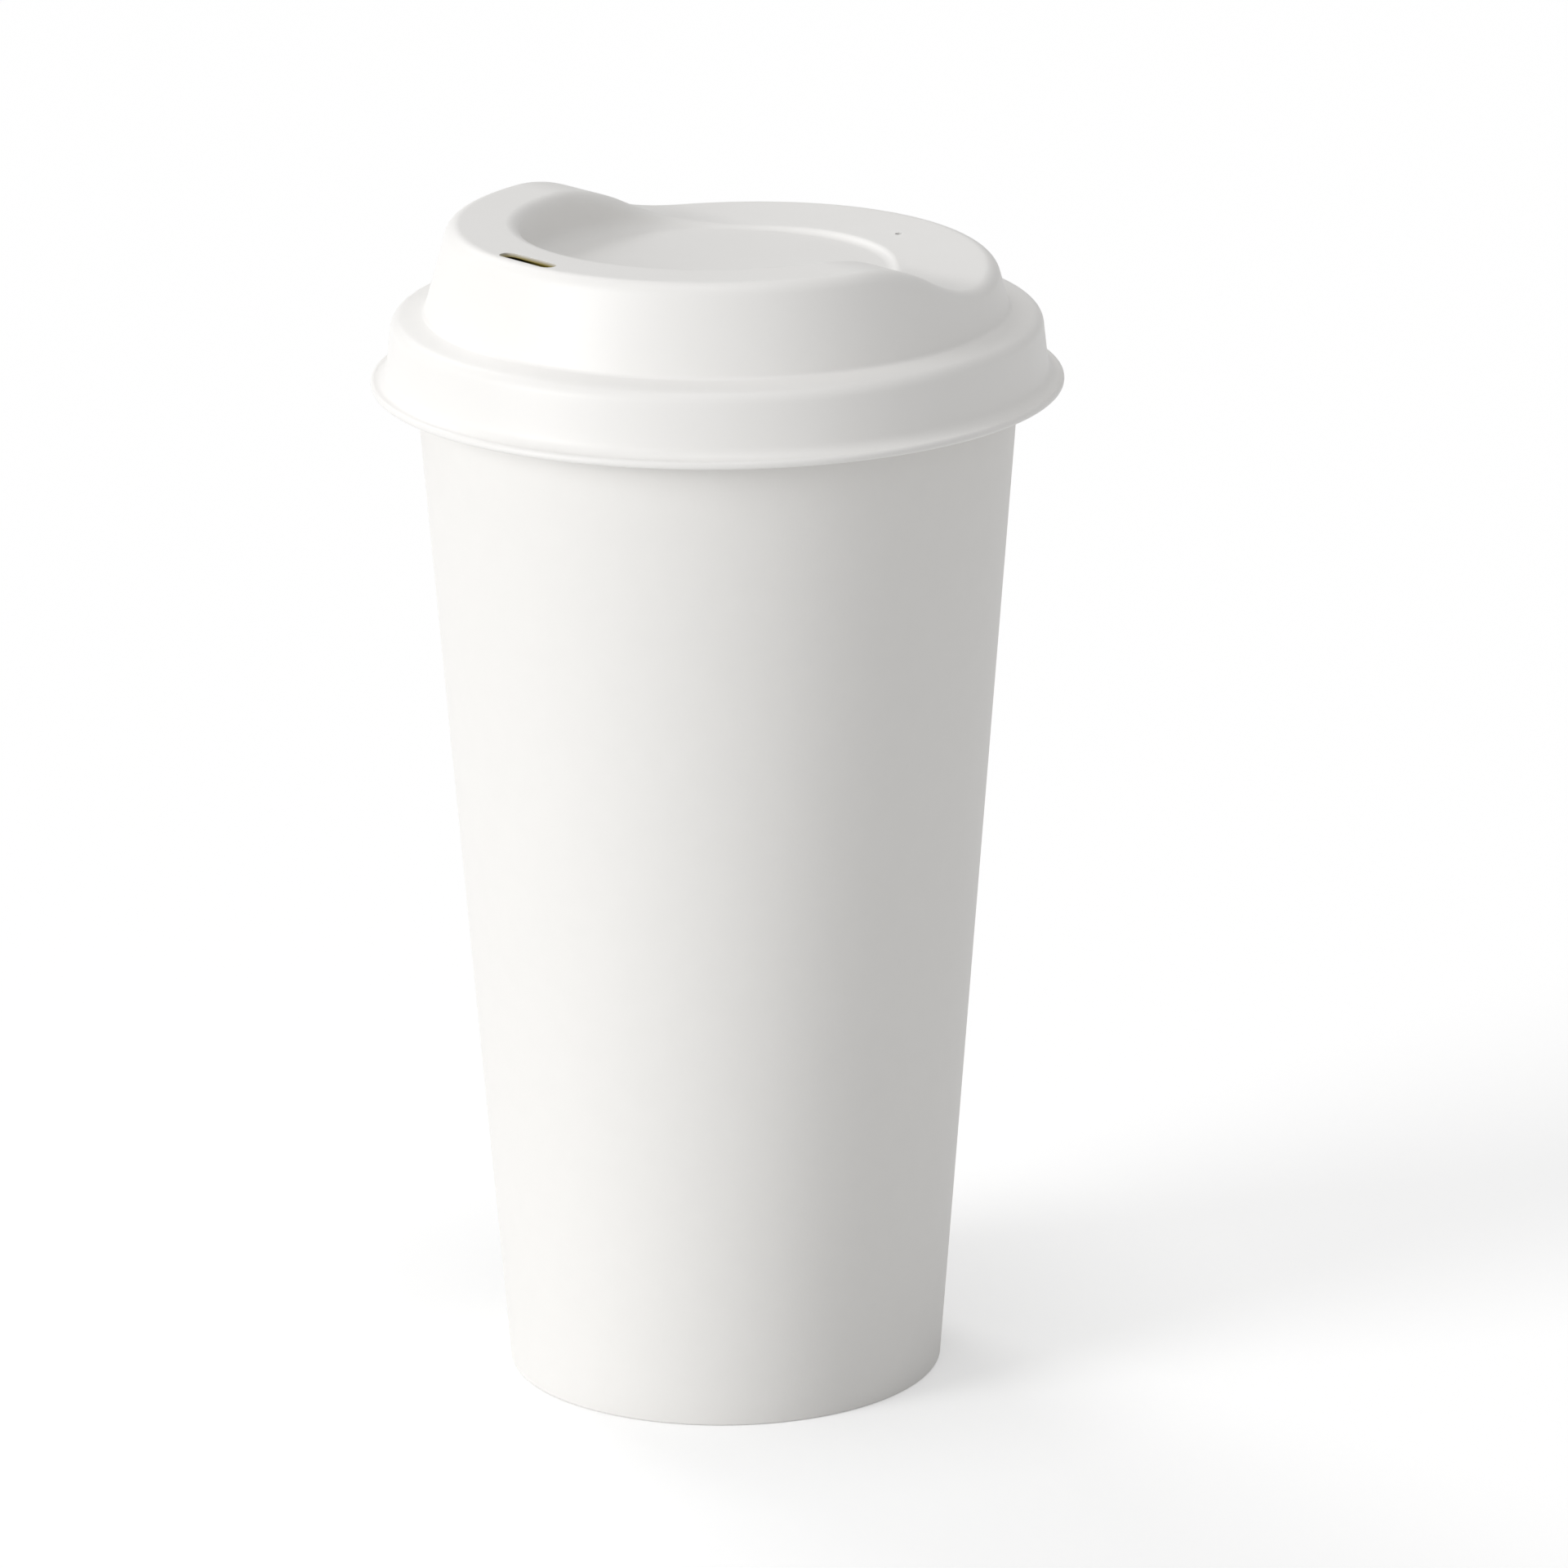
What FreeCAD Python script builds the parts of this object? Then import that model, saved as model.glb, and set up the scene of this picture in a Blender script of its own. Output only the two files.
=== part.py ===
"""Takeaway paper cup with a raised sip lid, in millimetres.

The origin is the centre of the foot, on the table. Z runs up the axis of the cup.
The lid's drinking slot is at -Y, and the cup's side seam is at +Y, under the low side of the lid.
"""
import FreeCAD, Part
import math
import os

# Cup: board, wall and rolled rim
board = 0.45
foot_diameter = 61.8
rim_diameter = 89.5
cup_height = 153.4
roll_diameter = 2.4
roll_gap = 0.05
lap_width = 7.0
lap_fade = 4.0
lap_sink = 0.03

# Cup: foot, where the wall is folded in round the skirt of the bottom disc
bottom_height = 9.0
flap_height = 7.5
foot_rounding = 0.4
disc_bend = 0.5
glue_gap = 0.05

# Lid: skirt, lip and shoulder, which take their places from the rim
lid_wall = 0.6
skirt_clearance = 0.3
seat_clearance = 0.3
skirt_draft = 6.2
lip_drop = 9.2
lip_reach = 1.95
lip_thickness = 1.1
lip_rounding = 0.5
lip_fillet = 1.7
lead_in = 0.8
shoulder_width = 3.9
shoulder_slope = 11.6
shoulder_rounding = 1.9
shoulder_fillet = 0.8

# Lid: raised drinking side, low side and round recess
crown_rise = 13.85
crown_draft = 15.6
crown_rounding = 2.2
step_start = -6.2
step_length = 25.8
step_drop = 6.6
low_side_slope = 3.0
recess_diameter = 52.0
recess_depth = 0.45
recess_lean = 12.0
recess_rounding = 2.0
recess_fillet = 3.0

# Lid: openings
slot_length = 10.8
slot_width = 2.45
slot_setback = 3.2
vent_diameter = 1.0
vent_setback = 8.6
vent_turn = 8.0

# Room by which a cutting solid passes the surface that it opens
cut_margin = 2.0

axis_foot = FreeCAD.Vector(0, 0, 0)
axis_up = FreeCAD.Vector(0, 0, 1)


def tan(degrees):
    return math.tan(math.radians(degrees))


def cos(degrees):
    return math.cos(math.radians(degrees))


def section_point(across, height):
    """A point of a section through the axis."""
    return FreeCAD.Vector(across, 0, height)


def arc(centre, radius, start, end):
    """Arc in the section plane, between two directions in degrees from the outward one."""
    points = []
    for degrees in (start, (start + end) / 2, end):
        turn = math.radians(degrees)
        points.append(centre + FreeCAD.Vector(radius * math.cos(turn), 0, radius * math.sin(turn)))
    return Part.Arc(*points).toShape()


def rounded_path(corners):
    """Edges through corners (across, height, rounding), with a tangent arc at each rounded one."""
    edges = []
    last = section_point(*corners[0][:2])
    for before, corner, after in zip(corners, corners[1:], corners[2:]):
        middle = section_point(*corner[:2])
        back = (section_point(*before[:2]) - middle).normalize()
        ahead = (section_point(*after[:2]) - middle).normalize()
        if corner[2] == 0:
            edges.append(Part.LineSegment(last, middle).toShape())
            last = middle
            continue
        half = back.getAngle(ahead) / 2
        reach = corner[2] / math.tan(half)
        bisector = (back + ahead).normalize()
        crest = middle + bisector * (corner[2] / math.sin(half) - corner[2])
        start = middle + back * reach
        end = middle + ahead * reach
        edges.append(Part.LineSegment(last, start).toShape())
        edges.append(Part.Arc(start, crest, end).toShape())
        last = end
    edges.append(Part.LineSegment(last, section_point(*corners[-1][:2])).toShape())
    return edges


def end_points(edges):
    """First and last point of a run of edges in order."""
    return edges[0].firstVertex(True).Point, edges[-1].lastVertex(True).Point


def close_path(edges):
    """The run of edges with a straight edge from its end back to its start."""
    start, end = end_points(edges)
    return edges + [Part.LineSegment(end, start).toShape()]


def turn_solid(edges):
    """Solid of revolution of a closed section about the axis."""
    return Part.Face(Part.Wire(edges)).revolve(axis_foot, axis_up, 360)


# Places on the cup that follow from its sizes
rim_radius = rim_diameter / 2
roll_radius = roll_diameter / 2
roll_centre = section_point(rim_radius - roll_radius, cup_height - roll_radius)
foot_run = roll_centre - section_point(foot_diameter / 2, 0)
wall_lean = math.degrees(math.atan2(foot_run.x, foot_run.z) - math.asin((roll_radius - board) / foot_run.Length))
foot_stack = 3 * board + 2 * glue_gap


def wall_radius(height, depth=0.0):
    """Radius of the cup's outer face at a height, or of a face that lies a depth inside it."""
    return foot_diameter / 2 + height * tan(wall_lean) - depth / cos(wall_lean)


def wall_corner(height, depth, rounding=0.0):
    return wall_radius(height, depth), height, rounding


def rim_roll(inner):
    """The roll of one and a half turns as half circles, along its inner or its outer face."""
    depth = board if inner else 0.0
    pitch = board + roll_gap
    outward = section_point(cos(wall_lean), -math.sin(math.radians(wall_lean)))
    half_turns = (
        (0.0, roll_radius, 180),
        (pitch / 2, roll_radius - pitch / 2, 0),
        (0.0, roll_radius - pitch, 180),
    )
    edges = []
    for shift, radius, start in half_turns:
        begin = start - wall_lean
        edges.append(arc(roll_centre + outward * shift, radius - depth, begin, begin - 180))
    return edges


def make_sidewall():
    """One board wall with the rim rolled outwards, the foot folded inwards and up, and a lapped side seam."""
    up_outside = rounded_path([
        wall_corner(flap_height, foot_stack),
        wall_corner(0, foot_stack, foot_rounding),
        wall_corner(0, 0, foot_rounding),
        (roll_centre.x - (roll_radius - board) * cos(wall_lean),
         roll_centre.z + (roll_radius - board) * math.sin(math.radians(wall_lean)), 0),
    ])
    roll_inside = rim_roll(inner=True)
    roll_outside = rim_roll(inner=False)
    down_inside = rounded_path([
        (roll_centre.x - roll_radius * cos(wall_lean),
         roll_centre.z + roll_radius * math.sin(math.radians(wall_lean)), 0),
        wall_corner(board, board),
        wall_corner(board, foot_stack - board),
        wall_corner(flap_height, foot_stack - board),
    ])
    roll_end = Part.LineSegment(end_points(roll_inside)[1], end_points(roll_outside)[1]).toShape()
    section = up_outside + roll_inside + [roll_end] + roll_outside[::-1] + down_inside
    closing = Part.LineSegment(end_points(down_inside)[1], end_points(up_outside)[0]).toShape()
    wall = turn_solid(section + [closing])
    return wall.fuse(lap_layer()).cut(lap_groove()).removeSplitter()


def beside_seam(height, across, depth):
    """A place at a height and a distance beside the seam's middle, at a depth inside the wall's outer face."""
    return FreeCAD.Vector(across, math.sqrt(wall_radius(height, depth) ** 2 - across ** 2), height)


def wall_arc(height, start, end, depth):
    """Edge that follows the wall at one depth between two distances beside the seam."""
    places = [beside_seam(height, across, depth) for across in (start, (start + end) / 2, end)]
    return Part.Arc(*places).toShape()


def lap_fall(height, depth):
    """Edge of a face that comes in by one board beyond the lap, and sinks a little into the face it runs out on."""
    places = []
    for share in (0.0, 0.15, 0.3, 0.5, 0.7, 0.85, 1.0):
        fall = (board + lap_sink) * share ** 2 * (3 - 2 * share)
        places.append(beside_seam(height, lap_width / 2 + share * lap_fade, depth + fall))
    curve = Part.BSplineCurve()
    curve.interpolate(places)
    return curve.toShape()


def lap_solid(low, high, outline):
    """Solid between a level outline at a low and at a high place on the wall."""
    wires = []
    for height in (low, high):
        edges = outline(height)
        closed = []
        for edge, following in zip(edges, edges[1:] + edges[:1]):
            end = edge.lastVertex(True).Point
            start = following.firstVertex(True).Point
            closed.append(edge)
            if not end.isEqual(start, lap_sink / 2):
                closed.append(Part.LineSegment(end, start).toShape())
        wires.append(Part.Wire(closed))
    return Part.makeLoft(wires, True, True)


def lap_layer():
    """Outer layer of the side seam: a board over the lap, with one cut edge, that comes down onto the wall."""
    half = lap_width / 2
    low = foot_rounding + board
    high = cup_height - roll_diameter - board
    return lap_solid(low, high, lambda height: [
        wall_arc(height, -half, half, -board),
        lap_fall(height, -board),
        wall_arc(height, half + lap_fade, -half, board / 2),
    ])


def lap_groove():
    """Room inside the wall beyond the inner layer's cut edge, where the outer layer stands out over it."""
    half = lap_width / 2
    low = bottom_height + 2 * board
    high = cup_height - roll_diameter - board
    return lap_solid(low, high, lambda height: [
        lap_fall(height, 0.0),
        wall_arc(height, half + lap_fade, half, board + cut_margin),
    ])


def make_bottom():
    """Bottom disc with its edge turned down into the fold of the foot."""
    skirt_outer = board + glue_gap
    skirt_inner = skirt_outer + board
    top = bottom_height + board
    skirt_end = board + glue_gap
    return turn_solid(close_path(rounded_path([
        (0, bottom_height, 0),
        wall_corner(bottom_height, skirt_inner, disc_bend),
        wall_corner(skirt_end, skirt_inner),
        wall_corner(skirt_end, skirt_outer),
        wall_corner(top, skirt_outer, disc_bend + board),
        (0, top, 0),
    ])))


# Places on the lid that follow from the rim and the clearances
lip_base = cup_height - lip_drop
crown_foot = rim_radius - shoulder_width
crown_top = cup_height + crown_rise
low_top = crown_top - step_drop
recess_floor = low_top - recess_depth


def skirt_radius(height, inset):
    """Radius of the skirt's outer face, or of a face that lies inset inside it."""
    clear = rim_radius + skirt_clearance + (lid_wall - inset) / cos(skirt_draft)
    return clear - (height - roll_centre.z) * tan(skirt_draft)


def shoulder_height(radius, inset):
    """Height of the shoulder's upper face, which rises inwards from the skirt, or of one below it."""
    seat = cup_height + seat_clearance + (lid_wall - inset) / cos(shoulder_slope)
    return seat - (radius - roll_centre.x) * tan(shoulder_slope)


def crown_radius(height, inset):
    """Radius of the crown's outer wall, which leans in from its foot on the shoulder."""
    return crown_foot - (height - shoulder_height(crown_foot, 0)) * tan(crown_draft) - inset / cos(crown_draft)


def skirt_corner(inset, rounding):
    """Where the skirt meets the shoulder."""
    low = skirt_radius(0, inset)
    across = (low - tan(skirt_draft) * shoulder_height(0, inset)) / (1 - tan(skirt_draft) * tan(shoulder_slope))
    return across, shoulder_height(across, inset), rounding


def crown_corner(inset, rounding):
    """Where the shoulder meets the crown's outer wall."""
    low = crown_radius(0, inset)
    across = (low - tan(crown_draft) * shoulder_height(0, inset)) / (1 - tan(crown_draft) * tan(shoulder_slope))
    return across, shoulder_height(across, inset), rounding


def lid_round(inset):
    """The round form of the lid: its outside, or the space that lies a wall inside it."""
    if inset == 0:
        lip_radius = skirt_radius(lip_base, 0) + lip_reach
        lip_top = lip_base + lip_thickness
        foot = [
            (0, lip_base, 0),
            (lip_radius, lip_base, lip_rounding),
            (lip_radius, lip_top, lip_rounding),
            (skirt_radius(lip_top, 0), lip_top, lip_fillet),
        ]
    else:
        flare = skirt_radius(lip_base, inset) + lip_reach
        foot = [
            (0, lip_base - cut_margin, 0),
            (flare, lip_base - cut_margin, 0),
            (flare, lip_base, 0),
            (skirt_radius(lip_base, inset), lip_base, lead_in),
        ]
    return turn_solid(close_path(rounded_path(foot + [
        skirt_corner(inset, shoulder_rounding - inset),
        crown_corner(inset, shoulder_fillet + inset),
        (crown_radius(crown_top - inset, inset), crown_top - inset, 0),
        (0, crown_top - inset, 0),
    ])))


def above_step(inset):
    """Room above the low side, down to a double curve that falls from the high side to the low one.

    The foot of the curve turns on a little past its lowest point, into the slope of the low side.
    """
    radius = (step_length ** 2 + step_drop ** 2) / (4 * step_drop)
    sweep = 2 * math.degrees(math.atan2(step_drop, step_length))
    high = crown_top - inset
    low = low_top - inset
    far = rim_radius + cut_margin
    brow = arc(section_point(step_start, high - radius + inset), radius - inset, 90, 90 - sweep)
    foot_centre = section_point(step_start + step_length, low + radius + inset)
    sweep_foot = arc(foot_centre, radius + inset, 270 - sweep, 270 + low_side_slope)
    start = end_points([sweep_foot])[1]
    around = rounded_path([
        (start.x, start.z, 0),
        (far, start.z + (far - start.x) * tan(low_side_slope), 0),
        (far, high + cut_margin, 0),
        (step_start, high + cut_margin, 0),
        (step_start, high, 0),
    ])
    room = Part.Face(Part.Wire([brow, sweep_foot] + around)).extrude(FreeCAD.Vector(0, 2 * far, 0))
    room.translate(FreeCAD.Vector(0, -far, 0))
    room.rotate(axis_foot, axis_up, 90)
    return room


def recess_room(inset):
    """Room in the round recess, whose wall leans outwards from a flat floor."""
    floor = recess_floor - inset
    mouth = crown_top + cut_margin
    foot = recess_diameter / 2 + inset / cos(recess_lean) - inset * tan(recess_lean)
    return turn_solid(close_path(rounded_path([
        (0, floor, 0),
        (foot, floor, recess_fillet + inset),
        (foot + (mouth - floor) * tan(recess_lean), mouth, 0),
        (0, mouth, 0),
    ])))


def creases(solid, floor, near_recess):
    """Edges above a height at which two faces meet at an angle, at the recess or at the crown's wall."""
    between = (recess_diameter / 2 + crown_foot) / 2
    found = []
    for edge in solid.Edges:
        faces = solid.ancestorsOfType(edge, Part.Face)
        middle = edge.valueAt((edge.FirstParameter + edge.LastParameter) / 2)
        is_near = math.hypot(middle.x, middle.y) < between
        if len(faces) == 2 and middle.z > floor and is_near == near_recess:
            normals = [face.normalAt(*face.Surface.parameter(middle)) for face in faces]
            if math.sin(normals[0].getAngle(normals[1])) > 0.1:
                found.append(edge)
    return found


def lid_mass(inset):
    """The lid as a filled solid, with its upper face moved inwards by the inset."""
    mass = lid_round(inset).cut(above_step(inset)).cut(recess_room(inset))
    above_fillet = recess_floor - inset + recess_depth / 2
    mass = mass.makeFillet(crown_rounding - inset, creases(mass, above_fillet, near_recess=False))
    return mass.makeFillet(recess_rounding - inset, creases(mass, above_fillet, near_recess=True))


def slot_room():
    """Room in the drinking slot, long along the lid's edge and round at both ends."""
    across = slot_length / 2 - slot_width / 2
    half = slot_width / 2
    low = section_point(0, low_top)
    right = low + FreeCAD.Vector(across, 0, 0)
    left = low - FreeCAD.Vector(across, 0, 0)
    aside = FreeCAD.Vector(0, half, 0)
    beyond = FreeCAD.Vector(half, 0, 0)
    outline = Part.Wire([
        Part.LineSegment(left + aside, right + aside).toShape(),
        Part.Arc(right + aside, right + beyond, right - aside).toShape(),
        Part.LineSegment(right - aside, left - aside).toShape(),
        Part.Arc(left - aside, left - beyond, left + aside).toShape(),
    ])
    room = Part.Face(outline).extrude(FreeCAD.Vector(0, 0, step_drop + cut_margin))
    room.translate(FreeCAD.Vector(0, slot_setback - crown_radius(crown_top, 0), 0))
    return room


def vent_room():
    """Room in the air hole in the low side, a little to one side of the axis through the slot."""
    away = crown_radius(low_top, 0) - vent_setback
    room = Part.makeCylinder(vent_diameter / 2, 2 * cut_margin, section_point(away, low_top - cut_margin))
    room.rotate(axis_foot, axis_up, 90 - vent_turn)
    return room


def make_lid():
    """Thin lid: skirt with an outward lip, shoulder over the rim, stepped crown, recess, slot and air hole."""
    shell = lid_mass(0).cut(lid_mass(lid_wall))
    return shell.cut(slot_room()).cut(vent_room())


os.makedirs("parts", exist_ok=True)
make_sidewall().exportStep("parts/cup_sidewall.step")
make_bottom().exportStep("parts/cup_bottom.step")
make_lid().exportStep("parts/lid.step")
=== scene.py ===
"""A takeaway paper cup with its sip lid on, standing on a pale floor in soft light from the left.

Lengths are in metres and angles in radians. Z runs up the cup's axis, the lid's drinking slot is at -Y
and the cup's side seam at +Y.
"""

import math

import bpy
import numpy as np
from mathutils import Matrix, Vector


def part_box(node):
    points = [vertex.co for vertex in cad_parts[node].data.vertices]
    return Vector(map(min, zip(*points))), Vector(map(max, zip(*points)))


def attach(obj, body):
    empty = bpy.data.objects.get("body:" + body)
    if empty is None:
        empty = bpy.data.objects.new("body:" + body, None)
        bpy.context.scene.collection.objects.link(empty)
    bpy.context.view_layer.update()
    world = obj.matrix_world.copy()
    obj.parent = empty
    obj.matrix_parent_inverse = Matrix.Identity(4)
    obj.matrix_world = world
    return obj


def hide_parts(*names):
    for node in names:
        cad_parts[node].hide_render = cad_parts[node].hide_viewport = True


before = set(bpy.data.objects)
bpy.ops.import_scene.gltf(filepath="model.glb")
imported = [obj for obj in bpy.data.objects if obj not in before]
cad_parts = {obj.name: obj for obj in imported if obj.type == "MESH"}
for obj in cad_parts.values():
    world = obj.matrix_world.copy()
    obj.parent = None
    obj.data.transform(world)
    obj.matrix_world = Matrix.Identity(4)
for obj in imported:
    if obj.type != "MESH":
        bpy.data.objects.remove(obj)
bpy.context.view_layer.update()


# Cup sidewall: one blank of white coated board, wrapped into a cone and lapped at a side seam at the back.
# Its upper edge is rolled outwards one and a half turns into the rim, and its lower edge is folded
# inwards and up round the skirt of the bottom disc, which makes the double foot that the cup stands on.
mm = 0.001
board = 0.45 * mm
foot_radius = 30.9 * mm
roll_radius = 1.2 * mm
roll_gap = 0.05 * mm
glue_gap = 0.05 * mm
flap_height = 7.5 * mm
foot_rounding = 0.4 * mm
lap_width = 7.0 * mm
lap_fade = 4.0 * mm
seam_zone = 14.0 * mm
crease_angle = math.radians(35)
rim_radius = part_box("cup_sidewall")[1][0]
cup_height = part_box("cup_sidewall")[1][2]
roll_across = rim_radius - roll_radius
roll_height = cup_height - roll_radius
wall_lean = (math.atan2(roll_across - foot_radius, roll_height)
             - math.asin((roll_radius - board) / math.hypot(roll_across - foot_radius, roll_height)))
foot_stack = 3 * board + 2 * glue_gap


def wall_point(height, depth, rounding=0.0):
    """Corner of the wall's section: on the leaning outer face at a height, moved inwards across the wall.

    Its distance from the axis is foot radius + height * tan(lean) - depth / cos(lean).
    """
    return foot_radius + height * math.tan(wall_lean) - depth / math.cos(wall_lean), height, rounding


def rounded_section(corners, straight_rows, arc_rows):
    """Rows (across, height) along a path of corners (across, height, rounding), for each column.

    A rounded corner becomes the circle of its rounding that touches both of its straight runs. The centre
    lies on the corner's bisector at rounding / sin(half the corner's angle), and the arc turns evenly
    between the runs. straight_rows holds one count for each run and arc_rows one for each inner corner.
    """
    columns = max(np.size(value) for corner in corners for value in corner)
    points = np.stack([np.stack([np.broadcast_to(corner[0], columns), np.broadcast_to(corner[1], columns)])
                       for corner in corners])
    runs = points[1:] - points[:-1]
    lengths = np.hypot(runs[:, 0], runs[:, 1])
    directions = runs / lengths[:, None]
    starts = [points[0]]
    ends = []
    arcs = []
    for index in range(1, len(corners) - 1):
        ahead = directions[index]
        back = -directions[index - 1]
        half = 0.5 * np.arccos(np.clip((back * ahead).sum(axis=0), -1, 1))
        rounding = np.broadcast_to(corners[index][2], columns)
        reach = rounding / np.tan(half)
        bisector = (back + ahead) / np.hypot(*(back + ahead))
        centre = points[index] + bisector * rounding / np.sin(half)
        first = points[index] + back * reach
        last = points[index] + ahead * reach
        from_centre = np.arctan2(first[1] - centre[1], first[0] - centre[0])
        to_centre = np.arctan2(last[1] - centre[1], last[0] - centre[0])
        sweep = (to_centre - from_centre + np.pi) % (2 * np.pi) - np.pi
        share = np.arange(1, arc_rows[index - 1])[:, None] / arc_rows[index - 1]
        turn = from_centre + share * sweep
        arcs.append(np.stack([centre[0] + rounding * np.cos(turn),
                              centre[1] + rounding * np.sin(turn)], axis=1))
        ends.append(first)
        starts.append(last)
    ends.append(points[-1])
    rows = []
    for index, (start, end, count) in enumerate(zip(starts, ends, straight_rows)):
        share = np.arange(count + 1)[:, None, None] / count
        rows.append(start + share * (end - start))
        if index < len(arcs):
            rows.append(arcs[index])
    section = np.concatenate(rows)
    return section[:, 0], section[:, 1]


def roll_start(depth):
    """Corner where a face of the wall runs into the roll's first half circle, a depth inside the roll."""
    reach = roll_radius - depth
    return roll_across - reach * math.cos(wall_lean), roll_height + reach * math.sin(wall_lean), 0


def half_turn(centre_shift, radius, start, rows=10):
    """Half circle of the rolled rim in the wall's leaning frame, turned clockwise from a start angle."""
    turn = start - wall_lean - np.pi * np.arange(rows + 1) / rows
    across = roll_across + centre_shift * math.cos(wall_lean) + radius * np.cos(turn)
    height = roll_height - centre_shift * math.sin(wall_lean) + radius * np.sin(turn)
    return np.stack([across, height])


def rim_roll(depth):
    """One and a half turns of the rolled rim: half circles that shrink by half a pitch at each turn."""
    pitch = board + roll_gap
    turns = [half_turn(0.0, roll_radius - depth, np.pi),
             half_turn(pitch / 2, roll_radius - pitch / 2 - depth, 0.0),
             half_turn(0.0, roll_radius - pitch - depth, np.pi)]
    return np.concatenate([turn[:, 1:] for turn in turns], axis=1)


def grid_mesh(name, points, skipped=(), extra_faces=(), wrap_rows=False, poles=(None, None)):
    """Object from a grid of points (row, column, xyz) whose columns close round the axis.

    Every cell becomes a quad, apart from the skipped ones. Rows close on themselves when they wrap.
    Otherwise a pole's point closes the first or the last row with a fan.
    """
    row_count, column_count = points.shape[:2]
    number = np.arange(row_count * column_count).reshape(row_count, column_count)
    lower = number if wrap_rows else number[:-1]
    upper = np.roll(number, -1, axis=0) if wrap_rows else number[1:]
    quads = np.stack([lower, np.roll(lower, -1, axis=1), np.roll(upper, -1, axis=1), upper], axis=-1)
    kept = np.ones(quads.shape[:2], dtype=bool)
    for rows, columns in skipped:
        kept[np.ix_(rows, columns)] = False
    vertices = points.reshape(-1, 3)
    faces = quads[kept].tolist() + list(extra_faces)
    for pole, ring, turn in ((poles[0], number[0], 1), (poles[1], number[-1], -1)):
        if pole is not None:
            tip = len(vertices)
            vertices = np.vstack([vertices, pole])
            fan = np.stack([np.full(column_count, tip), np.roll(ring, -1), ring], axis=-1)
            faces += fan[:, ::turn].tolist()
    mesh = bpy.data.meshes.new(name)
    mesh.from_pydata(vertices.tolist(), [], faces)
    mesh.shade_smooth()
    mesh.set_sharp_from_angle(angle=crease_angle)
    piece = bpy.data.objects.new(name, mesh)
    bpy.context.scene.collection.objects.link(piece)
    return piece


def seam_columns(across, around_count, lap_steps):
    """Angle of each column in each row, in radians from +X.

    Near the seam a column keeps its distance from the seam's middle line, so that the lap has one width
    all the way up: its angle is 90 degrees less asin(distance / radius). The others share the rest evenly.
    """
    inside = np.arcsin(np.clip(lap_steps[None, :] / across[:, None], -1, 1))
    edge = np.arcsin(lap_steps[-1] / across)
    share = np.arange(1, around_count)[None, :] / around_count
    outside = edge[:, None] + share * (2 * np.pi - 2 * edge[:, None])
    return np.pi / 2 - np.concatenate([inside, outside], axis=1)


def lap_rise(distance, full_from):
    """Height of the lap over the wall beside it: none before its cut edge and one board over the lap.

    Then it falls smoothly over the fade's length, as the outer layer comes down onto the wall:
    the rise is board * (1 - fall squared * (3 - 2 fall)), with the fall going from 0 to 1.
    """
    fall = np.clip((distance - lap_width / 2) / lap_fade, 0, 1)
    return board * (distance > full_from) * (1 - fall * fall * (3 - 2 * fall))


up_outside = rounded_section(
    [wall_point(flap_height, foot_stack), wall_point(0, foot_stack, foot_rounding),
     wall_point(0, 0, foot_rounding), roll_start(board)],
    straight_rows=(5, 1, 36), arc_rows=(5, 5))
down_inside = rounded_section(
    [roll_start(0), wall_point(board, board), wall_point(board, foot_stack - board),
     wall_point(flap_height, foot_stack - board)],
    straight_rows=(30, 1, 5), arc_rows=(1, 1))
roll_inner = rim_roll(depth=board)
roll_outer = rim_roll(depth=0.0)[:, ::-1]
wall_across = np.concatenate([up_outside[0][:, 0], roll_inner[0], roll_outer[0], down_inside[0][:, 0]])
wall_height = np.concatenate([up_outside[1][:, 0], roll_inner[1], roll_outer[1], down_inside[1][:, 0]])
outer_rows = np.arange(len(wall_across)) < len(up_outside[0])
inner_rows = np.arange(len(wall_across)) >= len(wall_across) - len(down_inside[0])

cut = 0.02 * mm
beside_cut = 0.6 * mm
fade_from = 0.5 * mm
past_fade = 1.0 * mm
lap_end_run = 1.0 * mm
around_columns = 300
half_lap = lap_width / 2
lap_steps = np.concatenate([
    np.linspace(-seam_zone, -half_lap - beside_cut, 9), [-half_lap - cut, -half_lap + cut],
    np.linspace(-half_lap + beside_cut, half_lap - beside_cut, 9), [half_lap - cut, half_lap + cut],
    np.linspace(half_lap + fade_from, half_lap + lap_fade, 9),
    np.linspace(half_lap + lap_fade + past_fade, seam_zone, 5)])
wall_angle = seam_columns(wall_across, around_columns, lap_steps)
from_seam = wall_across[:, None] * np.sin(np.pi / 2 - wall_angle)
from_seam = np.where(np.sin(wall_angle) > 0, from_seam, seam_zone)
above_foot = np.clip((wall_height - foot_rounding) / lap_end_run, 0, 1)
below_roll = np.clip((roll_height - roll_radius - wall_height) / lap_end_run, 0, 1)
outer_lap = lap_rise(from_seam, -half_lap) * outer_rows[:, None] * (wall_across > foot_radius)[:, None]
inner_lap = lap_rise(from_seam, half_lap) * inner_rows[:, None] * (wall_across > foot_radius)[:, None]
wall_radius = wall_across[:, None] + (outer_lap + inner_lap) * (above_foot * below_roll)[:, None]
wall_points = np.stack([wall_radius * np.cos(wall_angle), wall_radius * np.sin(wall_angle),
                        np.broadcast_to(wall_height[:, None], wall_angle.shape)], axis=-1)
sidewall = grid_mesh("sidewall", wall_points, wrap_rows=True)


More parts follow.
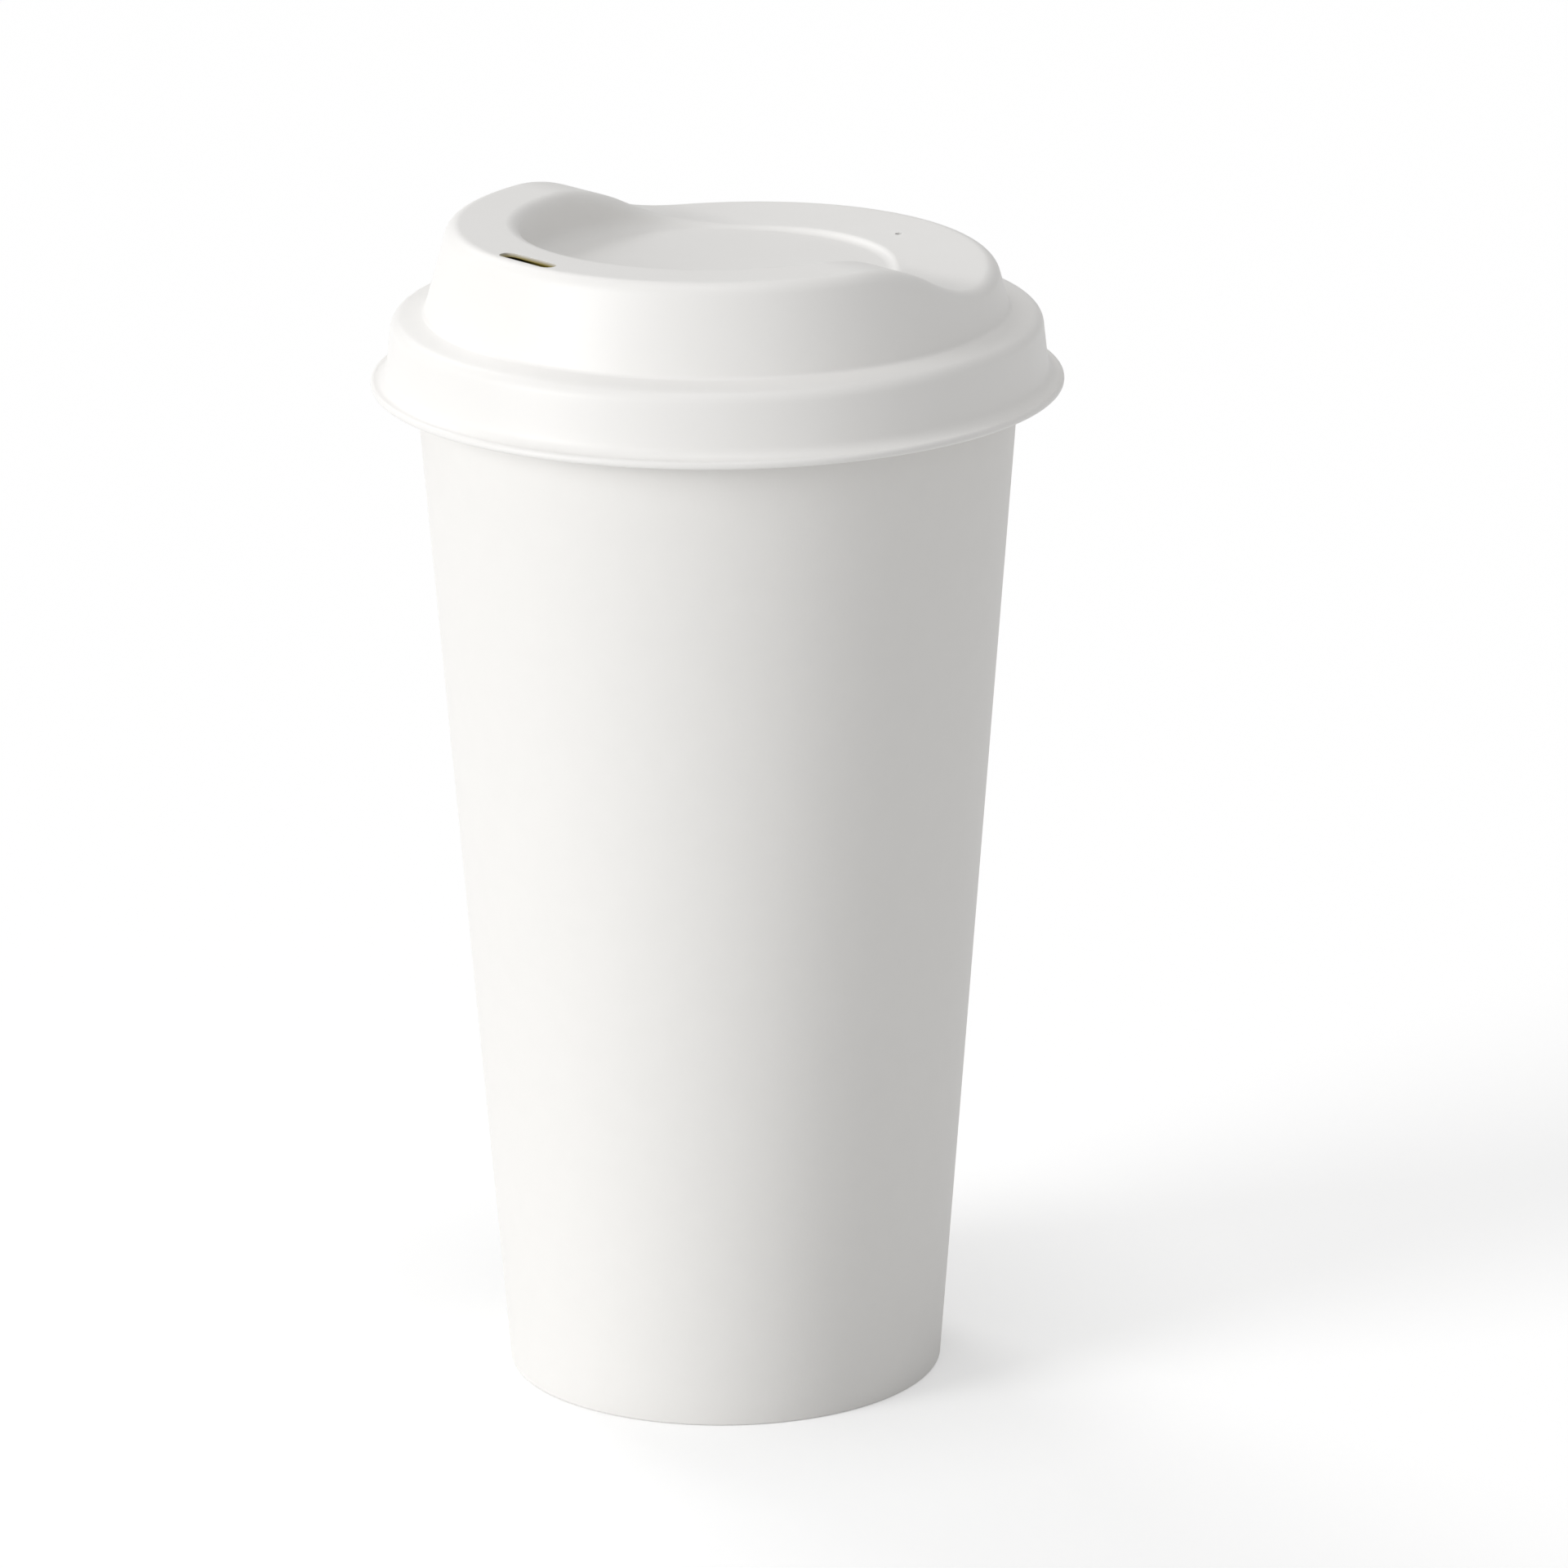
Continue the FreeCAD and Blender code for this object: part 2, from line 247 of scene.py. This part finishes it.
def paper_material(name, colour, roughness):
    """White coated board: a soft cloudy formation of the fibres and a fine tooth under the coating."""
    cloud_tone = 0.975
    material = bpy.data.materials.new(name)
    material.use_nodes = True
    nodes = material.node_tree.nodes
    links = material.node_tree.links
    shader = nodes["Principled BSDF"]
    shader.inputs["Roughness"].default_value = roughness
    shader.inputs["Specular IOR Level"].default_value = 0.35
    place = nodes.new("ShaderNodeTexCoord")
    clouds = nodes.new("ShaderNodeTexNoise")
    clouds.inputs["Scale"].default_value = 260
    clouds.inputs["Detail"].default_value = 4
    tone = nodes.new("ShaderNodeMix")
    tone.data_type = "RGBA"
    tone.inputs["A"].default_value = (*(value * cloud_tone for value in colour), 1)
    tone.inputs["B"].default_value = (*colour, 1)
    tooth = nodes.new("ShaderNodeTexNoise")
    tooth.inputs["Scale"].default_value = 2600
    tooth.inputs["Detail"].default_value = 3
    bump = nodes.new("ShaderNodeBump")
    bump.inputs["Strength"].default_value = 0.12
    bump.inputs["Distance"].default_value = 0.1 * mm
    links.new(place.outputs["Object"], clouds.inputs["Vector"])
    links.new(place.outputs["Object"], tooth.inputs["Vector"])
    links.new(clouds.outputs["Fac"], tone.inputs["Factor"])
    links.new(tone.outputs["Result"], shader.inputs["Base Color"])
    links.new(tooth.outputs["Fac"], bump.inputs["Height"])
    links.new(bump.outputs["Normal"], shader.inputs["Normal"])
    return material


sidewall.data.materials.append(paper_material("coated_board", (0.88, 0.868, 0.846), 0.55))
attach(sidewall, "cup")
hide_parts("cup_sidewall")


# Cup bottom: a disc of the same board with its edge bent down into a skirt.
# The skirt is glued between the wall and the flap that the wall's lower edge is turned up into.
bottom_height = 9.0 * mm
disc_bend = 0.5 * mm
innermost_ring = 2.0 * mm
bottom_columns = 180


def turned_points(section, column_count):
    """Points of a section turned about the axis: x and y are the distance across times cosine and sine."""
    turn = 2 * np.pi * np.arange(column_count) / column_count
    across = np.broadcast_to(section[0], (len(section[0]), column_count))
    height = np.broadcast_to(section[1], across.shape)
    return np.stack([across * np.cos(turn), across * np.sin(turn), height], axis=-1)


skirt_outer = board + glue_gap
skirt_inner = skirt_outer + board
bottom_section = rounded_section(
    [(innermost_ring, bottom_height + board, 0),
     wall_point(bottom_height + board, skirt_outer, disc_bend + board),
     wall_point(skirt_outer, skirt_outer),
     wall_point(skirt_outer, skirt_inner),
     wall_point(bottom_height, skirt_inner, disc_bend),
     (innermost_ring, bottom_height, 0)],
    straight_rows=(8, 4, 1, 4, 8), arc_rows=(8, 1, 1, 6))
bottom = grid_mesh("bottom", turned_points(bottom_section, bottom_columns)[::-1],
                   poles=((0, 0, bottom_height), (0, 0, bottom_height + board)))
bottom.data.materials.append(paper_material("bottom_board", (0.87, 0.857, 0.832), 0.5))
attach(bottom, "cup")
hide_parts("cup_bottom")


# Lid: one thin sheet of matt white plastic, formed over a mould, so both faces have one shape a wall apart.
# From outside in: a lip, a skirt round the rolled rim, a shoulder, a leaning crown that steps down from the
# drinking side to the low side, and a round recess. A slot and an air hole are punched in it.
lid_wall = 0.6 * mm
skirt_clearance = 0.3 * mm
seat_clearance = 0.3 * mm
skirt_slope = math.tan(math.radians(6.2))
skirt_cosine = math.cos(math.radians(6.2))
lip_thickness = 1.1 * mm
lip_rounding = 0.5 * mm
lip_fillet = 1.7 * mm
lead_in = 0.8 * mm
past_lead_in = 0.2 * mm
shoulder_width = 3.9 * mm
shoulder_slope = math.tan(math.radians(11.6))
shoulder_cosine = math.cos(math.radians(11.6))
shoulder_rounding = 1.9 * mm
shoulder_fillet = 0.8 * mm
crown_slope = math.tan(math.radians(15.6))
crown_cosine = math.cos(math.radians(15.6))
crown_rounding = 2.2 * mm
step_start = -6.2 * mm
step_length = 25.8 * mm
step_drop = 6.6 * mm
low_side_slope = math.radians(3)
recess_radius = 26.0 * mm
recess_depth = 0.45 * mm
recess_rise = math.radians(78)
recess_rounding = 2.0 * mm
recess_fillet = 3.0 * mm
slot_length = 10.8 * mm
slot_width = 2.45 * mm
slot_setback = 3.2 * mm
vent_radius = 0.5 * mm
vent_setback = 8.6 * mm
vent_turn = math.radians(8)
lip_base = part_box("lid")[0][2]
lip_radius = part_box("lid")[1][0]
crown_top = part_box("lid")[1][2]
low_top = crown_top - step_drop
recess_floor = low_top - recess_depth
crown_foot = rim_radius - shoulder_width
lid_columns = 420
lid_turn = 2 * np.pi * (np.arange(lid_columns) + 0.5) / lid_columns
floor_rows = 6
recess_steps = 18
top_start = floor_rows + recess_steps
top_steps = 30


def skirt_across(height, inset):
    """Distance of the skirt's face from the axis: the rim, the clearance and what is left of the wall."""
    return (rim_radius + skirt_clearance + (lid_wall - inset) / skirt_cosine
            - (height - roll_height) * skirt_slope)


def shoulder_height(across, inset):
    """Height of the shoulder's face, which rises inwards over the rolled rim."""
    return (cup_height + seat_clearance + (lid_wall - inset) / shoulder_cosine
            - (across - roll_across) * shoulder_slope)


def crown_across(height, inset):
    """Distance of the crown's leaning outer wall from the axis."""
    return crown_foot - (height - shoulder_height(crown_foot, 0)) * crown_slope - inset / crown_cosine


def on_shoulder(low, slope, inset, rounding):
    """Corner where a wall that leans by a slope from a distance at height zero meets the shoulder."""
    across = (low - slope * shoulder_height(0, inset)) / (1 - slope * shoulder_slope)
    return across, shoulder_height(across, inset), rounding


def top_height(along, inset):
    """Height of the lid's top at a distance along Y: high, then two equal arcs down and back, then low.

    The arcs' radius is (length squared + drop squared) / (4 drop), so that they meet halfway in one slope.
    The second turns on past its lowest point, into the straight slope in which the low side rises outwards.
    """
    radius = (step_length ** 2 + step_drop ** 2) / (4 * step_drop)
    split = (radius - inset) * step_length / (2 * radius)
    past_start = along - step_start
    first = np.clip(past_start, 0, split)
    turned_on = (radius + inset) * math.sin(low_side_slope)
    second = np.clip(step_length - past_start, -turned_on, step_length - split)
    beyond = np.clip(past_start - step_length - turned_on, 0, None)
    brow = crown_top - radius + np.sqrt((radius - inset) ** 2 - first ** 2)
    foot = low_top + radius - np.sqrt((radius + inset) ** 2 - second ** 2)
    return np.where(past_start < split, brow, foot + beyond * math.tan(low_side_slope))


def recess_wall(floor, top, inset):
    """Rows up the recess's wall: an arc off the floor, a straight run, and a reversed arc onto the top.

    Both arcs turn by the wall's rise, or by less where the top is so low that they meet without a straight
    run: 1 - cos(turn) is then the depth divided by the sum of their radii. The rows are even steps of the
    path's length.
    """
    below = recess_fillet + inset
    above = recess_rounding - inset
    turn = np.minimum(recess_rise, np.arccos(1 - np.minimum((top - floor) / (below + above), 1)))
    straight = (top - floor - (below + above) * (1 - np.cos(turn))) / np.sin(turn)
    step = np.arange(recess_steps + 1)[:, None] / recess_steps * ((below + above) * turn + straight)
    first = np.clip(step / below, 0, turn)
    run = np.clip(step - below * turn, 0, straight)
    second = turn - np.clip((step - below * turn - straight) / above, 0, turn)
    start = recess_radius - recess_fillet * math.tan(recess_rise / 2)
    across = start + below * np.sin(first) + run * np.cos(turn) + above * (np.sin(turn) - np.sin(second))
    height = (floor + below * (1 - np.cos(first)) + run * np.sin(turn)
              + above * (np.cos(second) - np.cos(turn)))
    return across, height


def lid_face(inset, edge_corners, edge_straight, edge_arcs):
    """Rows of one face of the lid from the recess's middle to the skirt, then through the edge corners.

    For each column the top's two edges are found by repeating height = top, distance = wall at that height.
    Between them the straight run is then raised onto the step's curve.
    """
    repeats = 40
    sine = np.sin(lid_turn)
    floor = recess_floor - inset
    inner = np.full(lid_columns, recess_radius)
    outer = np.full(lid_columns, crown_foot)
    for _ in range(repeats):
        inner_top = top_height(inner * sine, inset)
        recess_across, recess_height = recess_wall(floor, inner_top, inset)
        inner = recess_across[-1] - (recess_rounding - inset) / 2
        outer = crown_across(top_height(outer * sine, inset), inset)
    outer_top = top_height(outer * sine, inset)
    floor_across = np.linspace(innermost_ring, recess_across[0], floor_rows, endpoint=False)
    across, height = rounded_section(
        [(recess_across[-1], inner_top, 0),
         (outer, outer_top, crown_rounding - inset),
         on_shoulder(crown_across(0, inset), crown_slope, inset, shoulder_fillet + inset),
         on_shoulder(skirt_across(0, inset), skirt_slope, inset, shoulder_rounding - inset)] + edge_corners,
        straight_rows=(top_steps, 5, 4) + edge_straight, arc_rows=(10, 6, 8) + edge_arcs)
    across = np.concatenate([floor_across, recess_across, across[1:]])
    height = np.concatenate([np.full_like(floor_across, floor), recess_height, height[1:]])
    share = np.clip((across - inner) / (outer - inner), 0, 1)
    on_top = (height > recess_floor) & (share > 0) & (share < 1)
    chord = inner_top + share * (outer_top - inner_top)
    return across, np.where(on_top, height + top_height(across * sine, inset) - chord, height)


faces_meet = skirt_across(lip_base, lid_wall) + lead_in + past_lead_in
outer_face = lid_face(0, [
    (skirt_across(lip_base + lip_thickness, 0), lip_base + lip_thickness, lip_fillet),
    (lip_radius, lip_base + lip_thickness, lip_rounding),
    (lip_radius, lip_base, lip_rounding),
    (faces_meet, lip_base, 0)],
    edge_straight=(4, 1, 1, 2), edge_arcs=(7, 5, 5))
inner_face = lid_face(lid_wall, [
    (skirt_across(lip_base, lid_wall), lip_base, lead_in),
    (faces_meet, lip_base, 0)],
    edge_straight=(4, 1), edge_arcs=(5,))


def face_points(face):
    """Points of the lid's face: the distance across turned to each column's angle."""
    across, height = face
    return np.stack([across * np.cos(lid_turn), across * np.sin(lid_turn),
                     np.broadcast_to(height, across.shape)], axis=-1)


def open_hole(points, middle, half_length, half_width, half_rows, half_columns):
    """Bends the grid round a hole with straight sides and round ends. Returns its middle's row and column.

    The hole is a block of cells, a rectangle in the grid. Each point of its outline moves to the hole's
    outline: the nearest point of the hole's middle line, plus the half width in the direction of the point.
    The points outside follow the nearest point of the block, by a share that falls to none over some cells.
    """
    spread = 6
    least_length = 1e-9
    outward = np.array(middle) / math.hypot(*middle)
    aside = np.array([-outward[1], outward[0]])
    top = points[top_start:top_start + top_steps + 1, :, :2] - middle
    near = np.unravel_index(np.argmin(np.hypot(top[..., 0], top[..., 1])), top.shape[:2])
    row, column = int(near[0]) + top_start, int(near[1])
    rows = np.arange(-half_rows - spread, half_rows + spread + 1)[:, None]
    columns = np.arange(-half_columns - spread, half_columns + spread + 1)[None, :]
    held_rows = np.clip(rows, -half_rows, half_rows) + 0 * columns
    held_columns = np.clip(columns, -half_columns, half_columns) + 0 * rows
    along = -held_columns / half_columns * half_length
    out = held_rows / half_rows * half_width
    core = np.clip(along, half_width - half_length, half_length - half_width)
    ring = np.maximum(np.abs(held_rows / half_rows), np.abs(held_columns / half_columns))
    stretch = half_width * ring / np.maximum(np.hypot(along - core, out), least_length)
    target = (middle - (core + (along - core) * stretch)[..., None] * aside
              + (out * stretch)[..., None] * outward)
    held = points[row + held_rows, (column + held_columns) % lid_columns, :2]
    beyond = np.maximum(np.abs(rows - held_rows), np.abs(columns - held_columns))
    share = np.clip(1 - beyond / (spread + 1), 0, 1) ** 2
    points[row + rows, (column + columns) % lid_columns, :2] += share[..., None] * (target - held)
    return row, column


def block_outline(row, column, half_rows, half_columns):
    """Grid places round the outline of a block of cells, in order."""
    right = [(row - half_rows, column + step) for step in range(-half_columns, half_columns)]
    up = [(row + step, column + half_columns) for step in range(-half_rows, half_rows)]
    left = [(row + half_rows, column - step) for step in range(-half_columns, half_columns)]
    down = [(row - step, column - half_columns) for step in range(-half_rows, half_rows)]
    return np.array(right + up + left + down)


outer_points = face_points(outer_face)
inner_points = face_points(inner_face)
slot_middle = (0.0, slot_setback - crown_across(crown_top, 0))
vent_distance = crown_across(low_top, 0) - vent_setback
vent_middle = (vent_distance * math.sin(vent_turn), vent_distance * math.cos(vent_turn))
# For each hole: its middle, half its length and width, and half the rows and columns of its block of cells.
holes = ((slot_middle, slot_length / 2, slot_width / 2, 5, 10),
         (vent_middle, vent_radius, vent_radius, 2, 2))
last_row = len(inner_points) + len(outer_points) - 2
skipped = []
hole_walls = []
for middle, half_length, half_width, half_rows, half_columns in holes:
    sizes = (middle, half_length, half_width, half_rows, half_columns)
    row, column = open_hole(outer_points, *sizes)
    under_row, under_column = open_hole(inner_points, *sizes)
    above = block_outline(row, column, half_rows, half_columns)
    below = block_outline(under_row, under_column, half_rows, half_columns)
    above = (last_row - above[:, 0]) * lid_columns + above[:, 1] % lid_columns
    below = below[:, 0] * lid_columns + below[:, 1] % lid_columns
    hole_walls += np.stack([above, np.roll(above, -1), np.roll(below, -1), below], axis=-1).tolist()
    wide = np.arange(-half_columns, half_columns)
    for cut_row, cut_column in ((last_row - row, column), (under_row, under_column)):
        skipped.append((np.arange(cut_row - half_rows, cut_row + half_rows),
                        (cut_column + wide) % lid_columns))
lid_points = np.concatenate([inner_points, outer_points[-2::-1]])
lid = grid_mesh("sip_lid", lid_points, skipped=skipped, extra_faces=hole_walls,
                poles=((0, 0, recess_floor - lid_wall), (0, 0, recess_floor)))

# Painted shade under the slot: the lid's inner face is tinted dark brown and glows faintly near the slot,
# standing in for the warm shade seen through it. The share is full at the slot and falls to none over the
# reach.
painted_shade_reach = 14.0 * mm
painted_shade_strength = 1.3
under_slot = np.array([slot_middle[0], slot_middle[1], crown_top - lid_wall])
from_slot = np.linalg.norm(inner_points - under_slot, axis=-1)
painted_shade = np.zeros(lid_points.shape[:2])
painted_shade[:len(inner_points)] = np.clip(painted_shade_strength * (1 - from_slot / painted_shade_reach), 0, 1)
painted_shade = np.append(painted_shade.ravel(), (0, 0))
lid.data.attributes.new("painted_slot_shade", "FLOAT", "POINT").data.foreach_set("value", painted_shade.astype(np.float32))


def plastic_material():
    """Matt white plastic: a faint unevenness of the sheet, with painted shade under the slot: a dark brown
    tint on the inner face that stands in for the warm shade seen through the slot.

    The tint glows faintly, a painted glow that stands in for the daylight that comes through the thin sheet
    from above.
    """
    material = bpy.data.materials.new("moulded_white_plastic")
    material.use_nodes = True
    nodes = material.node_tree.nodes
    links = material.node_tree.links
    shader = nodes["Principled BSDF"]
    shader.inputs["Roughness"].default_value = 0.45
    shader.inputs["Specular IOR Level"].default_value = 0.4
    place = nodes.new("ShaderNodeTexCoord")
    sheet = nodes.new("ShaderNodeTexNoise")
    sheet.inputs["Scale"].default_value = 120
    sheet.inputs["Detail"].default_value = 3
    tone = nodes.new("ShaderNodeMix")
    tone.data_type = "RGBA"
    tone.inputs["A"].default_value = (0.868, 0.856, 0.836, 1)
    tone.inputs["B"].default_value = (0.885, 0.875, 0.858, 1)
    painted_shade_amount = nodes.new("ShaderNodeAttribute")
    painted_shade_amount.attribute_name = "painted_slot_shade"
    painted_shade_tint = nodes.new("ShaderNodeMix")
    painted_shade_tint.data_type = "RGBA"
    # Painted shade: the dark brown that the inner face takes under the slot.
    painted_shade_tint.inputs["B"].default_value = (0.2, 0.155, 0.03, 1)
    # Painted glow of the tinted inner face, for light through the thin sheet; it is no lamp.
    shader.inputs["Emission Color"].default_value = (0.11, 0.085, 0.012, 1)
    grain = nodes.new("ShaderNodeTexNoise")
    grain.inputs["Scale"].default_value = 1500
    grain.inputs["Detail"].default_value = 2
    bump = nodes.new("ShaderNodeBump")
    bump.inputs["Strength"].default_value = 0.1
    bump.inputs["Distance"].default_value = 0.1 * mm
    links.new(place.outputs["Object"], sheet.inputs["Vector"])
    links.new(place.outputs["Object"], grain.inputs["Vector"])
    links.new(sheet.outputs["Fac"], tone.inputs["Factor"])
    links.new(painted_shade_amount.outputs["Fac"], painted_shade_tint.inputs["Factor"])
    links.new(painted_shade_amount.outputs["Fac"], shader.inputs["Emission Strength"])
    links.new(tone.outputs["Result"], painted_shade_tint.inputs["A"])
    links.new(painted_shade_tint.outputs["Result"], shader.inputs["Base Color"])
    links.new(grain.outputs["Fac"], bump.inputs["Height"])
    links.new(bump.outputs["Normal"], shader.inputs["Normal"])
    return material


lid.data.materials.append(plastic_material())
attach(lid, "lid")
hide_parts("lid")


# Floor: a wide pale surface that the cup stands on.
# It shows pure white to the camera apart from the cup's soft shadow, which falls to the right.
floor_reach = 6.0
floor_tone = 0.8
floor_lift = 0.308
floor_mesh = bpy.data.meshes.new("floor")
floor_mesh.from_pydata([(-floor_reach, -floor_reach, 0), (floor_reach, -floor_reach, 0),
                        (floor_reach, floor_reach, 0), (-floor_reach, floor_reach, 0)], [], [(0, 1, 2, 3)])
floor = bpy.data.objects.new("floor", floor_mesh)
bpy.context.scene.collection.objects.link(floor)
floor_material = bpy.data.materials.new("pale_floor")
floor_material.use_nodes = True
floor_nodes = floor_material.node_tree.nodes
floor_links = floor_material.node_tree.links
matt = floor_nodes["Principled BSDF"]
matt.inputs["Base Color"].default_value = (floor_tone, floor_tone, floor_tone, 1)
matt.inputs["Roughness"].default_value = 1.0
matt.inputs["Specular IOR Level"].default_value = 0.0
glow = floor_nodes.new("ShaderNodeEmission")
ray = floor_nodes.new("ShaderNodeLightPath")
seen = floor_nodes.new("ShaderNodeMath")
seen.operation = "MAXIMUM"
lift = floor_nodes.new("ShaderNodeMath")
lift.operation = "MULTIPLY"
lift.inputs[1].default_value = floor_lift
total = floor_nodes.new("ShaderNodeAddShader")
floor_links.new(ray.outputs["Is Camera Ray"], seen.inputs[0])
floor_links.new(ray.outputs["Is Glossy Ray"], seen.inputs[1])
floor_links.new(seen.outputs["Value"], lift.inputs[0])
floor_links.new(lift.outputs["Value"], glow.inputs["Strength"])
floor_links.new(matt.outputs["BSDF"], total.inputs[0])
floor_links.new(glow.outputs["Emission"], total.inputs[1])
floor_links.new(total.outputs["Shader"], floor_nodes["Material Output"].inputs["Surface"])
floor_mesh.materials.append(floor_material)


# Camera: the photograph's viewpoint, from the front right of the drinking side and a little above the lid.
# Its place, its turns and its lens (the focal length as a share of the picture's width) come from a fit
# of the cup's outline.
view_turn = math.radians(49)
eye_away = 1.2661
eye_height = 0.4696
view_yaw = 0.00705
view_pitch = 0.29473
view_roll = -0.00653
lens_share = 11438.5 / 1920
sensor_width = 36
ahead = Vector((math.sin(view_yaw) * math.cos(view_pitch), math.cos(view_yaw) * math.cos(view_pitch),
                -math.sin(view_pitch)))
level = Vector((math.cos(view_yaw), -math.sin(view_yaw), 0))
upward = level.cross(ahead)
right = math.cos(view_roll) * level + math.sin(view_roll) * upward
above = math.cos(view_roll) * upward - math.sin(view_roll) * level
camera_data = bpy.data.cameras.new("camera")
camera_data.sensor_width = sensor_width
camera_data.lens = sensor_width * lens_share
camera_data.clip_end = 50
camera = bpy.data.objects.new("camera", camera_data)
turned = Matrix.Rotation(view_turn, 3, "Z") @ Matrix((right, above, -ahead)).transposed()
camera.matrix_world = Matrix.LocRotScale(
    Matrix.Rotation(view_turn, 3, "Z") @ Vector((0, -eye_away, eye_height)), turned.to_quaternion(), None)
bpy.context.scene.collection.objects.link(camera)
bpy.context.scene.camera = camera


# Light: two broad low lamps from the left of the view, two weak fills and a plain even world.
# Each lamp has a strength (one lights a facing surface fully), degrees left of the viewer and degrees up.
lamps = (("key_low", 0.338, 60, 8), ("key_high", 0.25, 60, 22),
         ("back_fill", 0.168, 150, 38), ("top_fill", 0.177, 0, 85))
lamp_spread = math.radians(25)
world_strength = 0.44
for name, strength, left, rise in lamps:
    lamp_data = bpy.data.lights.new(name, "SUN")
    lamp_data.energy = strength * math.pi
    lamp_data.angle = lamp_spread
    lamp = bpy.data.objects.new(name, lamp_data)
    left, rise = math.radians(left), math.radians(rise)
    lamp_from = Vector((-math.sin(left) * math.cos(rise), -math.cos(left) * math.cos(rise), math.sin(rise)))
    lamp_from.rotate(Matrix.Rotation(view_turn, 3, "Z"))
    lamp.rotation_euler = lamp_from.to_track_quat("Z", "Y").to_euler()
    bpy.context.scene.collection.objects.link(lamp)
world = bpy.data.worlds.new("world")
world.use_nodes = True
world_nodes = world.node_tree.nodes
world_nodes["Background"].inputs["Color"].default_value = (1, 1, 1, 1)
world_nodes["Background"].inputs["Strength"].default_value = world_strength
bpy.context.scene.world = world
bpy.context.scene.view_settings.view_transform = "Standard"
